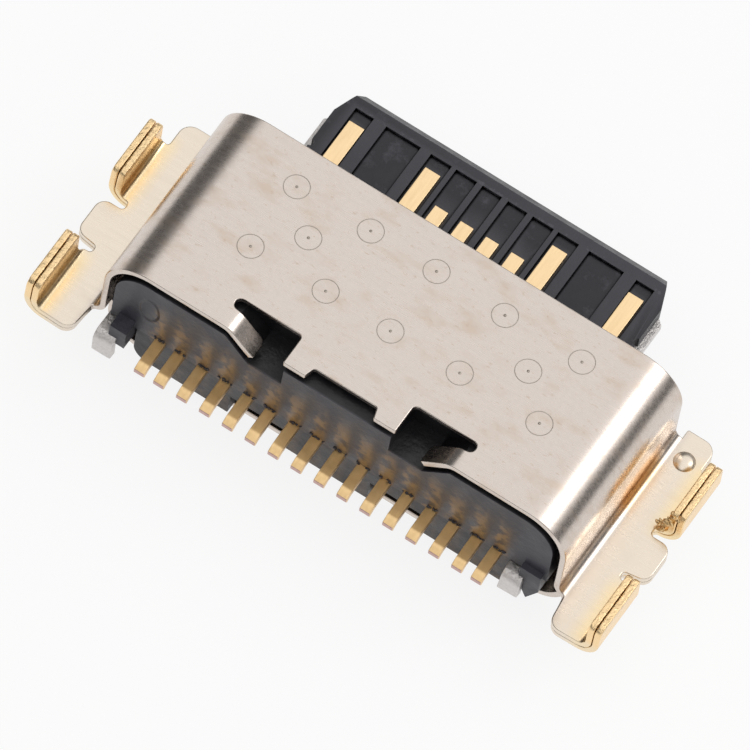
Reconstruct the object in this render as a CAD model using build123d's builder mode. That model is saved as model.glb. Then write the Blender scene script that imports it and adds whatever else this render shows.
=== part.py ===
from build123d import *
import os

# Reversible 16-contact phone charging port, the sunk kind that sits in a cut-out of its board.
# X runs from wing to wing, Y out of the mouth along the tongue, Z to the side the solder tabs
# are bent to. The origin is on the axis of the mouth, in the plane of the shell's front edge.

# sheet stock
SHEET = 0.12                     # outer covers
TUBE = 0.15                      # inner shell
PLATE = 0.15                     # mid plate
HALF = SHEET / 2

# mouth: the drawn inner shell has full-radius sides
MOUTH_W = 8.40
MOUTH_H = 2.56
TUBE_W = MOUTH_W + 2 * TUBE
TUBE_H = MOUTH_H + 2 * TUBE

# covers
SIDE_CLEAR = 0.05                # air between the tube's side and the cover's wall
COVER_IN_X = TUBE_W / 2 + SIDE_CLEAR
COVER_OUT_X = COVER_IN_X + SHEET
COVER_IN_Z = TUBE_H / 2          # the tube is welded to the covers, face to face
COVER_OUT_Z = COVER_IN_Z + SHEET
WALL_X = COVER_IN_X + HALF       # mid thickness of the walls and of the flat panels
PANEL_Z = COVER_IN_Z + HALF
SHOULDER_R = 0.85                # outer radius of the long edges
COVER_REAR = -3.62
LOWER_SHORTER = 0.27             # the lower cover ends ahead of the upper one
LOWER_REAR = COVER_REAR + LOWER_SHORTER
ROOT_R = 0.17                    # concave radius between wall and wing
FOLD_R = 0.12                    # concave radius between wing and tab

# wings: the two sheets lie face to face in the plane WING_Z, widths from the wall's outside
WING_Z = -0.45
WING_TOP = WING_Z + SHEET
UPPER_WING = WING_Z + HALF
LOWER_WING = WING_Z - HALF
CHINE_CLEAR = 0.28               # flat of the lower wall between its two bends
CHINE_R = COVER_OUT_Z + WING_Z - SHEET - CHINE_CLEAR  # the shoulder of the lower cover
WING_FRONT = 0.19
WING_REAR = -4.22
LOBE_OUT = 1.10                  # flat lobe between the tabs
LOBE_X = COVER_OUT_X + LOBE_OUT
LOBE_FRONT = -1.83
LOBE_REAR = -2.60
LOBE_CORNER_R = 0.20
NOTCH_OUT = 0.67                 # floor of the narrow notches beside the lobe
NOTCH_X = COVER_OUT_X + NOTCH_OUT
NOTCH_R = 0.07
EAR_OUT = 0.72                   # wing ahead of the front tab
FRONT_EAR_X = COVER_OUT_X + EAR_OUT
FRONT_EAR_R = 0.24
FRONT_RELIEF = 0.12
FRONT_RELIEF_X = COVER_OUT_X + FRONT_RELIEF
REAR_RELIEF = 0.10
REAR_RELIEF_X = COVER_OUT_X + REAR_RELIEF
REAR_INNER_OUT = 0.17
REAR_INNER_X = COVER_OUT_X + REAR_INNER_OUT
REAR_INNER_R = 0.22

# solder tabs: both sheets bent up beside each other
TAB_OUT = 0.86                   # inner face of the inner strip
TAB_IN_X = COVER_OUT_X + TAB_OUT
TAB_AIR = 0.03                   # air between the strips
TAB_TOP = 0.28
TAB_CORNER_R = 0.09
FRONT_TAB = (-1.66, -0.36)
REAR_TAB = (WING_REAR, -2.90)
INNER_STRIP_X = TAB_IN_X + HALF
OUTER_STRIP_X = INNER_STRIP_X + SHEET + TAB_AIR
FOLD_START_X = TAB_IN_X - FOLD_R

# locating boss on the right wing
BOSS_OUT = 0.40
BOSS_X = COVER_OUT_X + BOSS_OUT
BOSS_Y = -0.36
BOSS_R = 0.19
BOSS_H = 0.09
BOSS_TOP_R = 0.085

# rear windows of the upper cover, with a latch each
WINDOW_IN_X = 1.10
WINDOW_OUT_X = 2.345
WINDOW_FRONT = COVER_REAR + 0.61
WINDOW_R = 0.09
LATCH_SLOT = 0.22                # relief beside the latch, along Y
LATCH_FRONT = WINDOW_FRONT - LATCH_SLOT
LATCH_REAR = COVER_REAR
LATCH_BEND = 0.165               # the bend starts this far inside the window
LATCH_BEND_X = WINDOW_OUT_X - LATCH_BEND
LATCH_REACH = 0.50               # from the bend to the tip, across
LATCH_TIP_X = LATCH_BEND_X - LATCH_REACH
LATCH_DROP = 0.44                # and down
LATCH_TIP_Z = PANEL_Z - LATCH_DROP
LATCH_BEND_R = 0.28
CENTRE_NOTCH_X = 0.61
CENTRE_NOTCH_FLARE = 0.06
CENTRE_NOTCH_FRONT = COVER_REAR + 0.21

# inside the cover, behind the tube
TUBE_SHORTER = 0.85              # the tube ends ahead of the windows
TUBE_REAR = COVER_REAR + TUBE_SHORTER
REAR_PROUD = 0.02                # the plastic stands this much out of the cover
REAR_FACE = COVER_REAR - REAR_PROUD
BLOCK_CLEAR = 0.12
BLOCK_HALF_X = COVER_IN_X - BLOCK_CLEAR
BLOCK_TOP = COVER_IN_Z - BLOCK_CLEAR
BLOCK_CORNER_R = 0.62
TAIL_ROOT_Z = -0.185             # mid thickness where the tails leave the block
PARTING_Z = TAIL_ROOT_Z
LOWER_BLOCK_SIDE = 0.50          # the lower block is narrower by this
LOWER_BLOCK_HALF_X = BLOCK_HALF_X - LOWER_BLOCK_SIDE
LOWER_BLOCK_BOTTOM = -1.12
LOWER_BLOCK_SET_BACK = 0.03
LOWER_BLOCK_REAR = REAR_FACE + LOWER_BLOCK_SET_BACK
LOWER_CORNER_R = 0.31
GAP_IN_X = 0.85                  # two recesses below the tails, open to the rear
GAP_OUT_X = 1.90
GAP_TOP = -0.58
GAP_L = 0.36
POCKET_FLOOR = 0.85
POCKET_FRONT = WINDOW_FRONT + 0.13
POCKET_IN_X = WINDOW_IN_X - 0.05
POCKET_TOE_X = LATCH_TIP_X + 0.03     # the pocket's outer wall slopes with the latch
POCKET_OUT_X = LATCH_BEND_X + 0.02

# tongue
TONGUE_HALF_T = 0.35
TONGUE_HALF_X = 3.22
TONGUE_TIP = 2.10
TIP_FLAT = 1.90                  # where the top face runs over into the tip's bevel
TIP_EDGE_Z = 0.10
SHOULDER_Y1 = 1.46               # corner of the tongue's plan
SHOULDER_Y2 = 1.82
SHOULDER_IN = 0.13
SHOULDER_X2 = TONGUE_HALF_X - SHOULDER_IN
TIP_IN = 0.25
TIP_HALF_X = TONGUE_HALF_X - TIP_IN
STEP_HALF_T = 0.60               # thicker root of the tongue inside the mouth
STEP_WIDER = 0.24
STEP_HALF_X = TONGUE_HALF_X + STEP_WIDER
STEP_FRONT = -1.72
STEP_CORNER_R = 0.15
PLUG_T = 0.51                    # plug that closes the tube
PLUG_REAR = TUBE_REAR
PLUG_FRONT = PLUG_REAR + PLUG_T

# channels between the ribs of the tongue
CHANNEL_FLOOR = 0.30
CHANNEL_END = 1.70
OUTER_CHANNEL = (2.585, 2.94)
WIDE_RECESS = (1.66, 2.34)
INNER_CHANNEL = (1.05, 1.456)
CENTRE_CHANNEL = (0.55, 0.96)
MIDDLE_CHANNEL = (0.06, 0.44)
SIDE_NOTCH_Y = 0.72              # small relief in the tongue's sides
SIDE_NOTCH = 0.14

# contacts: the two rows carry four long and four short pads each
CONTACT_T = 0.15
PAD_FACE = 0.37
PAD_Z = PAD_FACE - CONTACT_T / 2
PAD_LONG_W = 0.30
PAD_SHORT_W = 0.26
PAD_LONG_TIP = 1.43
PAD_SHORT_TIP = 0.92
PAD_X = (-2.75, -1.25, -0.75, -0.25, 0.25, 0.75, 1.25, 2.75)
LONG_PADS = (0, 1, 6, 7)
TAIL_PITCH = 0.45
TAIL_COUNT = 16
UPPER_SLOTS = (1, 3, 5, 7, 8, 10, 12, 14)
LOWER_SLOTS = (0, 2, 4, 6, 9, 11, 13, 15)
TAIL_W = 0.20
END_TAIL_IN = 0.07               # the two end tails stand closer
FAN_INSET = 0.05
FAN_FRONT = STEP_FRONT - FAN_INSET    # the strips spread to the tails' pitch inside the root
FAN_REAR = PLUG_REAR + FAN_INSET
TAIL_OUT = 0.64
TAIL_TIP = REAR_FACE - TAIL_OUT
TAIL_TOE = 0.15                  # end of the tail, bent down further
TAIL_KNEE = TAIL_TIP + TAIL_TOE
TAIL_KNEE_Z = -0.22
TAIL_TIP_Z = -0.31
RISER_TOP = 0.56                 # the upper row is lifted over the parting line, then bent down
RISER_COVER = 0.03               # skin of plastic behind the risers
RISER_Y = REAR_FACE + RISER_COVER + CONTACT_T / 2
LIFT_L = 0.55
LIFT_REAR = PLUG_REAR + PLUG_T / 2
LIFT_FRONT = LIFT_REAR + LIFT_L
CONTACT_BEND_R = 0.10

# mid plate
PLATE_FRONT = 1.66
PLATE_BARE = 0.11                # bare latching edges beside the tongue
PLATE_BARE_X = TONGUE_HALF_X + PLATE_BARE
PLATE_BARE_FRONT = 1.36
PLATE_FRONT_X = 3.00
EAR_BEHIND = 0.22                # the plate's ears pass behind the tube's rear edge
EAR_REAR = PLUG_REAR - EAR_BEHIND
LEG_W = 0.37
LEG_X = (-4.145, 3.74)           # the legs are not quite alike
LEG_DROP_Y = EAR_REAR - 0.25
LEG_Z = -0.36
LEG_OUT = (0.34, 0.19)           # behind the plastic
LEG_BOTTOM = (-0.85, -0.78)
LEG_BEND_R = 0.11
LUG_LEFT = (-4.12, -3.80)        # plastic lugs beside the legs
LUG_RIGHT = (3.82, 4.22)
LUG_OUT = 0.30
LUG_RIGHT_OUT = 0.12
LUG_T = 0.28
LUG_POINT = (4.02, -0.85)        # the right lug is broken to a point

ALL = 20.0                       # longer than the connector, for cutters
TINY = 0.005


def mirrored(span):
    """A span on the +X side and its image on the -X side."""
    low, high = span
    return ((low, high), (-high, -low))


def blank_corners(edges, sheet_bottom, corner_x):
    """The short upright edges of a wing's sheet that stand at corner_x on either side."""
    upright = edges.filter_by(Axis.Z).filter_by_position(
        Axis.Z, sheet_bottom + HALF - TINY, sheet_bottom + HALF + TINY)
    return upright.filter_by(lambda edge: abs(abs(edge.center().X) - corner_x) < TINY)


# Upper cover: one folded sheet. The section over the body runs from wing to wing, its
# mid thickness drawn as one line with bend radii and given the thickness of the sheet.
with BuildPart() as upper_cover:
    with BuildSketch(Plane.XZ.offset(-WING_FRONT)):
        with BuildLine():
            FilletPolyline(
                (-LOBE_X, UPPER_WING), (-WALL_X, UPPER_WING), (-WALL_X, PANEL_Z),
                (WALL_X, PANEL_Z), (WALL_X, UPPER_WING), (LOBE_X, UPPER_WING),
                radius=(ROOT_R + HALF, SHOULDER_R - HALF, SHOULDER_R - HALF, ROOT_R + HALF))
        trace(line_width=SHEET)
    extrude(amount=WING_FRONT - WING_REAR)
    # body trimmed to its depth, the wings run past it at both ends
    with BuildSketch(Plane.XY.offset(WING_Z)):
        with Locations((0, WING_FRONT / 2)):
            Rectangle(2 * FRONT_RELIEF_X, WING_FRONT)
        Polygon((-REAR_RELIEF_X, COVER_REAR), (REAR_RELIEF_X, COVER_REAR),
                (REAR_INNER_X, WING_REAR), (-REAR_INNER_X, WING_REAR), align=None)
    extrude(amount=ALL, mode=Mode.SUBTRACT)
    # wing outline outside the walls: front ear, notches and the flat lobe
    with BuildSketch(Plane.XY.offset(WING_Z)) as wing_waste:
        for side in (1, -1):
            with Locations((side * (FRONT_EAR_X + LOBE_X) / 2 + side * SHEET,
                            (WING_FRONT + FRONT_TAB[1]) / 2)):
                Rectangle(LOBE_X - FRONT_EAR_X + 2 * SHEET, WING_FRONT - FRONT_TAB[1])
            with Locations((side * (FOLD_START_X + LOBE_X) / 2 + side * SHEET,
                            (FRONT_TAB[0] + FRONT_TAB[1]) / 2)):
                Rectangle(LOBE_X - FOLD_START_X + 2 * SHEET, FRONT_TAB[1] - FRONT_TAB[0])
            with Locations((side * (FOLD_START_X + LOBE_X) / 2 + side * SHEET,
                            (REAR_TAB[0] + REAR_TAB[1]) / 2)):
                Rectangle(LOBE_X - FOLD_START_X + 2 * SHEET, REAR_TAB[1] - REAR_TAB[0])
            for low, high in ((LOBE_FRONT, FRONT_TAB[0]), (REAR_TAB[1], LOBE_REAR)):
                with Locations((side * (NOTCH_X + LOBE_X) / 2 + side * SHEET, (low + high) / 2)):
                    Rectangle(LOBE_X - NOTCH_X + 2 * SHEET, high - low)
    extrude(amount=WING_TOP - WING_Z + SHEET, mode=Mode.SUBTRACT)
    # inner strips of the solder tabs
    for low, high in (FRONT_TAB, REAR_TAB):
        with BuildSketch(Plane.XZ.offset(-high)):
            with BuildLine():
                FilletPolyline((FOLD_START_X - SHEET, UPPER_WING), (INNER_STRIP_X, UPPER_WING),
                               (INNER_STRIP_X, TAB_TOP), radius=FOLD_R + HALF)
            trace(line_width=SHEET)
            mirror(about=Plane.YZ)
        extrude(amount=high - low)
    # rear windows, with the relief slot ahead of each latch, and the notch between them
    with BuildSketch(Plane.XY.offset(COVER_IN_Z)):
        for side in (1, -1):
            with Locations((side * (WINDOW_IN_X + WINDOW_OUT_X) / 2,
                            (WINDOW_FRONT + COVER_REAR - SHEET) / 2)):
                RectangleRounded(WINDOW_OUT_X - WINDOW_IN_X, WINDOW_FRONT - COVER_REAR + SHEET,
                                 WINDOW_R)
        Polygon((-CENTRE_NOTCH_X, CENTRE_NOTCH_FRONT), (CENTRE_NOTCH_X, CENTRE_NOTCH_FRONT),
                (CENTRE_NOTCH_X + CENTRE_NOTCH_FLARE, COVER_REAR - SHEET),
                (-CENTRE_NOTCH_X - CENTRE_NOTCH_FLARE, COVER_REAR - SHEET), align=None)
    extrude(amount=SHEET, mode=Mode.SUBTRACT)
    # latches bent down into the pockets of the plastic
    with BuildSketch(Plane.XZ.offset(-LATCH_FRONT)):
        with BuildLine():
            FilletPolyline((WINDOW_OUT_X + SHEET, PANEL_Z), (LATCH_BEND_X, PANEL_Z),
                           (LATCH_TIP_X, LATCH_TIP_Z), radius=LATCH_BEND_R)
        trace(line_width=SHEET)
        mirror(about=Plane.YZ)
    extrude(amount=LATCH_FRONT - LATCH_REAR)
    # domed boss pressed into the right wing
    with BuildSketch(Plane.XY.offset(WING_TOP)):
        with Locations((BOSS_X, BOSS_Y)):
            Circle(BOSS_R)
    extrude(amount=BOSS_H)
    fillet(edges().filter_by(GeomType.CIRCLE).filter_by_position(
        Axis.Z, WING_TOP + BOSS_H - TINY, WING_TOP + BOSS_H + TINY), BOSS_TOP_R)
    fillet(blank_corners(edges(), WING_Z, LOBE_X), LOBE_CORNER_R)
    fillet(blank_corners(edges(), WING_Z, NOTCH_X), NOTCH_R)
    fillet(blank_corners(edges(), WING_Z, FRONT_EAR_X).group_by(Axis.Y)[-1], FRONT_EAR_R)
    fillet(blank_corners(edges(), WING_Z, REAR_INNER_X), REAR_INNER_R)
    fillet(edges().filter_by(Axis.X).filter_by_position(
        Axis.Z, TAB_TOP - TINY, TAB_TOP + TINY), TAB_CORNER_R)
upper_cover.part.label = "upper_cover"

# Lower cover: the same way, upside down, with a shorter body.
with BuildPart() as lower_cover:
    with BuildSketch(Plane.XZ.offset(-WING_FRONT)):
        with BuildLine():
            FilletPolyline(
                (-LOBE_X, LOWER_WING), (-WALL_X, LOWER_WING), (-WALL_X, -PANEL_Z),
                (WALL_X, -PANEL_Z), (WALL_X, LOWER_WING), (LOBE_X, LOWER_WING),
                radius=(ROOT_R + HALF, CHINE_R - HALF, CHINE_R - HALF, ROOT_R + HALF))
        trace(line_width=SHEET)
    extrude(amount=WING_FRONT - WING_REAR)
    with BuildSketch(Plane.XY.offset(-COVER_OUT_Z)):
        with Locations((0, WING_FRONT / 2)):
            Rectangle(2 * FRONT_RELIEF_X, WING_FRONT)
        Polygon((-REAR_RELIEF_X, LOWER_REAR), (REAR_RELIEF_X, LOWER_REAR),
                (REAR_INNER_X, WING_REAR), (-REAR_INNER_X, WING_REAR), align=None)
    extrude(amount=ALL, mode=Mode.SUBTRACT)
    with BuildSketch(Plane.XY.offset(WING_Z)):
        add(wing_waste.sketch_local)
    extrude(amount=-2 * SHEET, mode=Mode.SUBTRACT)
    for low, high in (FRONT_TAB, REAR_TAB):
        with BuildSketch(Plane.XZ.offset(-high)):
            with BuildLine():
                FilletPolyline((FOLD_START_X - SHEET, LOWER_WING), (OUTER_STRIP_X, LOWER_WING),
                               (OUTER_STRIP_X, TAB_TOP),
                               radius=FOLD_R + SHEET + TAB_AIR + HALF)
            trace(line_width=SHEET)
            mirror(about=Plane.YZ)
        extrude(amount=high - low)
    fillet(blank_corners(edges(), WING_Z - SHEET, LOBE_X), LOBE_CORNER_R)
    fillet(blank_corners(edges(), WING_Z - SHEET, NOTCH_X), NOTCH_R)
    fillet(blank_corners(edges(), WING_Z - SHEET, FRONT_EAR_X).group_by(Axis.Y)[-1], FRONT_EAR_R)
    fillet(blank_corners(edges(), WING_Z - SHEET, REAR_INNER_X), REAR_INNER_R)
    fillet(edges().filter_by(Axis.X).group_by(Axis.Z)[-1], TAB_CORNER_R)
lower_cover.part.label = "lower_cover"

# Inner shell: drawn tube with full-radius sides, welded between the covers.
with BuildPart() as inner_shell:
    with BuildSketch(Plane.XZ):
        SlotOverall(TUBE_W, TUBE_H)
        SlotOverall(MOUTH_W, MOUTH_H, mode=Mode.SUBTRACT)
    extrude(amount=-TUBE_REAR)
inner_shell.part.label = "inner_shell"

# Contacts: formed strips. The side view of a row is drawn once and given its full width, then
# cut to each strip's plan, which spreads from the pads to the pitch of the tails.
with BuildPart() as upper_row:
    with BuildSketch(Plane.YZ):
        with BuildLine():
            FilletPolyline(
                (PAD_LONG_TIP, PAD_Z), (LIFT_FRONT, PAD_Z), (LIFT_REAR, RISER_TOP - CONTACT_T / 2),
                (RISER_Y, RISER_TOP - CONTACT_T / 2), (RISER_Y, TAIL_ROOT_Z),
                (TAIL_KNEE, TAIL_KNEE_Z), (TAIL_TIP, TAIL_TIP_Z), radius=CONTACT_BEND_R)
        trace(line_width=CONTACT_T)
    extrude(amount=TONGUE_HALF_X + BLOCK_HALF_X, both=True)
with BuildPart() as lower_row:
    with BuildSketch(Plane.YZ):
        with BuildLine():
            FilletPolyline(
                (PAD_LONG_TIP, -PAD_Z), (LIFT_FRONT, -PAD_Z), (LIFT_REAR, TAIL_ROOT_Z),
                (REAR_FACE, TAIL_ROOT_Z), (TAIL_KNEE, TAIL_KNEE_Z), (TAIL_TIP, TAIL_TIP_Z),
                radius=CONTACT_BEND_R)
        trace(line_width=CONTACT_T)
    extrude(amount=TONGUE_HALF_X + BLOCK_HALF_X, both=True)

contacts = []
for row, name, slots in ((upper_row, "upper_contact", UPPER_SLOTS),
                         (lower_row, "lower_contact", LOWER_SLOTS)):
    for number, (pad_x, slot) in enumerate(zip(PAD_X, slots)):
        is_long = number in LONG_PADS
        pad_half = (PAD_LONG_W if is_long else PAD_SHORT_W) / 2
        pad_tip = PAD_LONG_TIP if is_long else PAD_SHORT_TIP
        tail_x = (slot - (TAIL_COUNT - 1) / 2) * TAIL_PITCH
        if slot in (0, TAIL_COUNT - 1):
            tail_x *= 1 - END_TAIL_IN / abs(tail_x)
        tail_half = TAIL_W / 2
        with BuildPart() as contact:
            add(row.part)
            with BuildSketch(Plane.XY.offset(-ALL / 2)):
                Polygon((pad_x - pad_half, pad_tip), (pad_x - pad_half, FAN_FRONT),
                        (tail_x - tail_half, FAN_REAR), (tail_x - tail_half, TAIL_TIP),
                        (tail_x + tail_half, TAIL_TIP), (tail_x + tail_half, FAN_REAR),
                        (pad_x + pad_half, FAN_FRONT), (pad_x + pad_half, pad_tip), align=None)
            extrude(amount=ALL, mode=Mode.INTERSECT)
        contact.part.label = f"{name}_{number + 1}"
        contacts.append(contact)

# Mid plate: flat sheet in the middle of the tongue, its sides bare in the mouth, with two
# sheared legs that leave beside the lower block and are bent down, the left one further out.
with BuildPart() as mid_plate:
    with BuildSketch(Plane.XY.offset(-PLATE / 2)):
        Polygon((-PLATE_FRONT_X, PLATE_FRONT), (PLATE_FRONT_X, PLATE_FRONT),
                (PLATE_BARE_X, PLATE_BARE_FRONT), (PLATE_BARE_X, EAR_REAR),
                (-PLATE_BARE_X, EAR_REAR), (-PLATE_BARE_X, PLATE_BARE_FRONT), align=None)
        with Locations((sum(LEG_X) / 2, EAR_REAR + EAR_BEHIND / 2)):
            Rectangle(LEG_X[1] - LEG_X[0] + LEG_W, EAR_BEHIND)
    extrude(amount=PLATE)
    for leg_x, out, bottom in zip(LEG_X, LEG_OUT, LEG_BOTTOM):
        leg_y = REAR_FACE - out
        with BuildSketch(Plane.YZ.offset(leg_x)):
            with BuildLine():
                FilletPolyline((EAR_REAR + PLATE, 0), (LEG_DROP_Y, 0), (LEG_DROP_Y, LEG_Z),
                               (leg_y, LEG_Z), (leg_y, bottom), radius=LEG_BEND_R)
            trace(line_width=PLATE)
        extrude(amount=LEG_W / 2, both=True)
mid_plate.part.label = "mid_plate"

# Tongue body: moulded over the plate and both contact rows, with the plug that fills the tube.
with BuildPart() as tongue_body:
    with BuildSketch(Plane.YZ):
        Polygon((PLUG_REAR, TONGUE_HALF_T), (TIP_FLAT, TONGUE_HALF_T), (TONGUE_TIP, TIP_EDGE_Z),
                (TONGUE_TIP, -TIP_EDGE_Z), (TIP_FLAT, -TONGUE_HALF_T),
                (PLUG_REAR, -TONGUE_HALF_T), align=None)
    extrude(amount=TONGUE_HALF_X, both=True)
    with BuildSketch(Plane.XY.offset(-TONGUE_HALF_T)):
        Polygon((-TONGUE_HALF_X, PLUG_REAR), (TONGUE_HALF_X, PLUG_REAR),
                (TONGUE_HALF_X, SHOULDER_Y1), (SHOULDER_X2, SHOULDER_Y2),
                (TIP_HALF_X, TONGUE_TIP), (-TIP_HALF_X, TONGUE_TIP),
                (-SHOULDER_X2, SHOULDER_Y2), (-TONGUE_HALF_X, SHOULDER_Y1), align=None)
    extrude(amount=2 * TONGUE_HALF_T, mode=Mode.INTERSECT)
    with BuildSketch(Plane.XZ.offset(-STEP_FRONT)):
        RectangleRounded(2 * STEP_HALF_X, 2 * STEP_HALF_T, STEP_CORNER_R)
    extrude(amount=STEP_FRONT - PLUG_REAR)
    with BuildSketch(Plane.XZ.offset(-PLUG_FRONT)):
        SlotOverall(MOUTH_W, MOUTH_H)
    extrude(amount=PLUG_FRONT - PLUG_REAR)
    # channels on both faces, ribs left between them
    for face_z, direction in ((CHANNEL_FLOOR, 1), (-CHANNEL_FLOOR, -1)):
        with BuildSketch(Plane.XY.offset(face_z)):
            for span in (OUTER_CHANNEL, WIDE_RECESS, INNER_CHANNEL, CENTRE_CHANNEL,
                         MIDDLE_CHANNEL):
                for low, high in mirrored(span):
                    with Locations(((low + high) / 2, (STEP_FRONT + CHANNEL_END) / 2)):
                        Rectangle(high - low, CHANNEL_END - STEP_FRONT)
        extrude(amount=direction * CHANNEL_FLOOR, mode=Mode.SUBTRACT)
    with BuildSketch(Plane.XY.offset(-TONGUE_HALF_T)):
        with GridLocations(2 * TONGUE_HALF_X, 1, 2, 1):
            with Locations((0, SIDE_NOTCH_Y)):
                Circle(SIDE_NOTCH / 2)
    extrude(amount=2 * TONGUE_HALF_T, mode=Mode.SUBTRACT)
    add(mid_plate.part, mode=Mode.SUBTRACT)
    for contact in contacts:
        add(contact.part, mode=Mode.SUBTRACT)
tongue_body.part.label = "tongue_body"

# Upper rear block: closes the cover behind the tube, down to the parting line at the tails.
with BuildPart() as upper_rear_block:
    with BuildSketch(Plane.XZ.offset(-PLUG_REAR)):
        with Locations((0, (BLOCK_TOP + PARTING_Z) / 2)):
            Rectangle(2 * BLOCK_HALF_X, BLOCK_TOP - PARTING_Z)
        fillet(vertices().group_by(Axis.Y)[-1], BLOCK_CORNER_R)
    extrude(amount=PLUG_REAR - REAR_FACE)
    with BuildSketch(Plane.XZ.offset(-POCKET_FRONT)):
        Polygon((POCKET_IN_X, BLOCK_TOP), (POCKET_IN_X, POCKET_FLOOR),
                (POCKET_TOE_X, POCKET_FLOOR), (POCKET_OUT_X, BLOCK_TOP), align=None)
        mirror(about=Plane.YZ)
    extrude(amount=POCKET_FRONT - REAR_FACE, mode=Mode.SUBTRACT)
    # lugs beside the legs, hanging from the block
    with BuildSketch(Plane.XZ.offset(-REAR_FACE - BLOCK_CLEAR)):
        Polygon((LUG_LEFT[0], 0), (LUG_LEFT[0], PARTING_Z - LUG_T),
                (LUG_LEFT[1], PARTING_Z - LUG_T), (LUG_LEFT[1], 0), align=None)
    extrude(amount=LUG_OUT + BLOCK_CLEAR)
    with BuildSketch(Plane.XZ.offset(-REAR_FACE - BLOCK_CLEAR)):
        Polygon((LUG_RIGHT[0], 0), (LUG_RIGHT[0], PARTING_Z - LUG_T), LUG_POINT,
                (LUG_RIGHT[1], PARTING_Z - LUG_T), (LUG_RIGHT[1], 0), align=None)
    extrude(amount=LUG_RIGHT_OUT + BLOCK_CLEAR)
    add(mid_plate.part, mode=Mode.SUBTRACT)
    for contact in contacts:
        add(contact.part, mode=Mode.SUBTRACT)
upper_rear_block.part.label = "upper_rear_block"

# Lower rear block: the narrower half below the parting line, with two recesses to the rear.
with BuildPart() as lower_rear_block:
    with BuildSketch(Plane.XZ.offset(-PLUG_REAR)):
        with Locations((0, (LOWER_BLOCK_BOTTOM + PARTING_Z) / 2)):
            Rectangle(2 * LOWER_BLOCK_HALF_X, PARTING_Z - LOWER_BLOCK_BOTTOM)
        fillet(vertices().group_by(Axis.Y)[0], LOWER_CORNER_R)
    extrude(amount=PLUG_REAR - LOWER_BLOCK_REAR)
    with BuildSketch(Plane.XY.offset(LOWER_BLOCK_BOTTOM)):
        for low, high in mirrored((GAP_IN_X, GAP_OUT_X)):
            with Locations(((low + high) / 2, LOWER_BLOCK_REAR)):
                Rectangle(high - low, 2 * GAP_L)
    extrude(amount=GAP_TOP - LOWER_BLOCK_BOTTOM, mode=Mode.SUBTRACT)
    add(mid_plate.part, mode=Mode.SUBTRACT)
    for contact in contacts:
        add(contact.part, mode=Mode.SUBTRACT)
lower_rear_block.part.label = "lower_rear_block"

os.makedirs("parts", exist_ok=True)
for piece in (upper_cover, lower_cover, inner_shell, mid_plate, tongue_body,
              upper_rear_block, lower_rear_block, *contacts):
    export_step(piece.part, f"parts/{piece.part.label}.step")
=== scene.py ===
import math

import bmesh
import bpy
from mathutils import Matrix, Vector, noise


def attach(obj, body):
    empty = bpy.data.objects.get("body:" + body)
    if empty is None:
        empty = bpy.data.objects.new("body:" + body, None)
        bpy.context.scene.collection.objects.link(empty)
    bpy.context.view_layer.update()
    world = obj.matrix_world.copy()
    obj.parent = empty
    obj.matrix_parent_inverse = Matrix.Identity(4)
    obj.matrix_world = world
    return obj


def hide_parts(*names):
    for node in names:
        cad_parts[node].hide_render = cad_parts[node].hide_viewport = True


# Sunk charging port of a phone, alone on a white table. The frame is the CAD model's: X from wing
# to wing, Y out of the mouth, Z to the side of the solder tabs. Sizes are in mm.

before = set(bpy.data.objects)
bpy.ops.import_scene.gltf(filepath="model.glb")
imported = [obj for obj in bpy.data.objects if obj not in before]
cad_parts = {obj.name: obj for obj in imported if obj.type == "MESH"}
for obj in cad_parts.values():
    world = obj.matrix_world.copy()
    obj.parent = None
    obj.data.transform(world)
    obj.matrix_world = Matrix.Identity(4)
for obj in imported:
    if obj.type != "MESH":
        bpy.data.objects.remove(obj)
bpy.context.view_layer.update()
MM = 0.001

# Contacts
# Sixteen strips of copper alloy, stamped, plated with gold and bent to their side view, then
# moulded into the tongue in two rows. Their tails leave the rear block and go to the solder.

CONTACT_EASE = 0.012          # rounding of the stamped edges
EASE_ANGLE = 25               # edges sharper than this, in degrees, are rounded
ONE_FACE = 40                 # faces that meet within this angle shade as one
SPECK = 0.0002                # vertices nearer than this are one
TAIL_ROOT_Y = -3.64           # where the tails leave the block
BROWN_REACH = 0.6             # how far inside the browning begins
PAINTED_SHADE_Y = (-3.78, -3.98)       # painted shade: a tail goes darker from the first place to the second, for the dark plastic it reflects
PAINTED_HIGHLIGHT_Y = (-4.09, -4.15)        # painted highlight: its toe is bright again
CUT_END_Y = (-4.268, -4.276)  # and its sheared end is bare copper
SMOOTH = {"interpolation_type": "SMOOTHSTEP"}
COLOURS = {"data_type": "RGBA"}


def linear(code):
    """An sRGB hex colour as linear RGBA."""
    parts = [int(code[i:i + 2], 16) / 255 for i in (1, 3, 5)]
    return [c / 12.92 if c <= 0.04045 else ((c + 0.055) / 1.055) ** 2.4 for c in parts] + [1.0]


def feed(node, **links):
    """Links or sets inputs, by name or as i0, i1. A node as a value gives its first live output."""
    for key, value in links.items():
        if key[1:].isdigit():
            socket = node.inputs[int(key[1:])]
        else:
            socket = next(s for s in node.inputs if s.enabled and s.name == key.replace("_", " "))
        if isinstance(value, bpy.types.Node):
            value = next(s for s in value.outputs if s.enabled)
        if isinstance(value, bpy.types.NodeSocket):
            node.id_data.links.new(value, socket)
        else:
            socket.default_value = linear(value) if isinstance(value, str) else value


def put(tree, kind, settings=None, **links):
    """Adds a node with its attributes and inputs. A text value is an sRGB hex colour."""
    node = tree.nodes.new(kind)
    for key, value in (settings or {}).items():
        setattr(node, key, value)
    feed(node, **links)
    return node


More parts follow.
